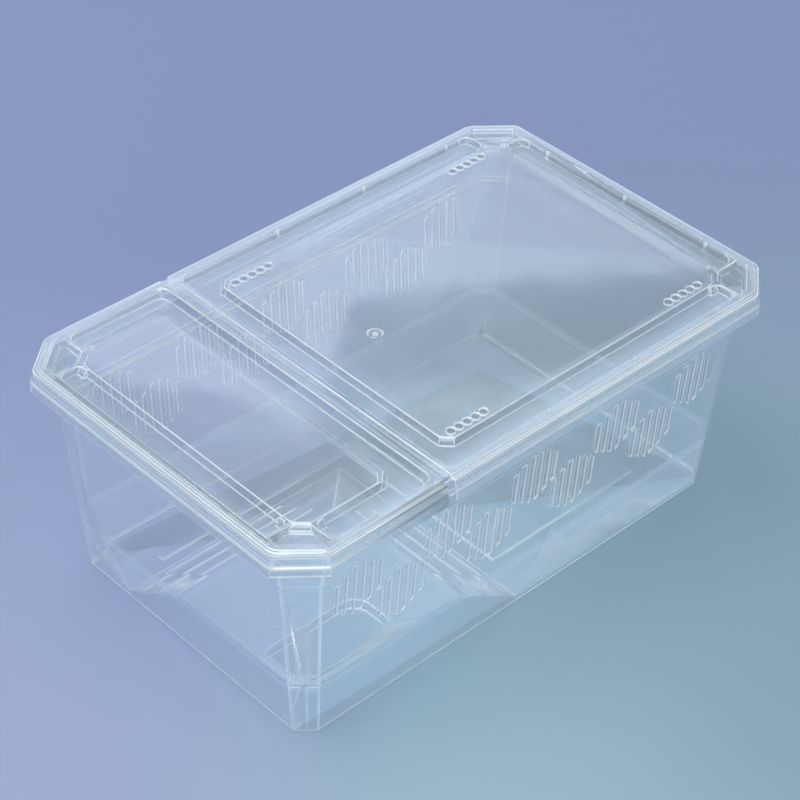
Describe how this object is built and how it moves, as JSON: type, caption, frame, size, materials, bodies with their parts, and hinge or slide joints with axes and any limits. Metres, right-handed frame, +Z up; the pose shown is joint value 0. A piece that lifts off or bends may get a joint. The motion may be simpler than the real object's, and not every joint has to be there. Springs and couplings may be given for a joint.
{
  "type": "reptile breeding box",
  "caption": "Clear chamfered-corner breeding box for small reptiles: vented tapered tub with a raised corner platform, ramps and dish, and a lid whose end folds up for feeding.",
  "frame": {"origin": "centre of the overall box at the underside of the tub's floor", "axes": "+X along the box from the feeding flap to the far end, +Y across it away from the platform's side, +Z up"},
  "size_m": [0.265, 0.1684, 0.106],
  "materials": {
    "clear_tub": "clear polypropylene, slightly milky, polished walls",
    "clear_lid": "clear polypropylene, slightly milky, polished"
  },
  "bodies": {
    "tub": {"tub": "clear_tub"},
    "lid": {"lid_cover": "clear_lid", "living_hinge": "clear_lid"},
    "flap": {"feeding_flap": "clear_lid"}
  },
  "joints": [
    {"name": "lid_lift", "type": "slide", "parent": "tub", "child": "lid", "axis": [0, 0, 1], "range_m": [0, 0.12]},
    {"name": "flap_hinge", "type": "hinge", "parent": "lid", "child": "flap", "pos_m": [-0.0561, 0, 0.1058], "axis": [0, 1, 0], "range_deg": [0, 155], "deforming": ["living_hinge"]}
  ]
}
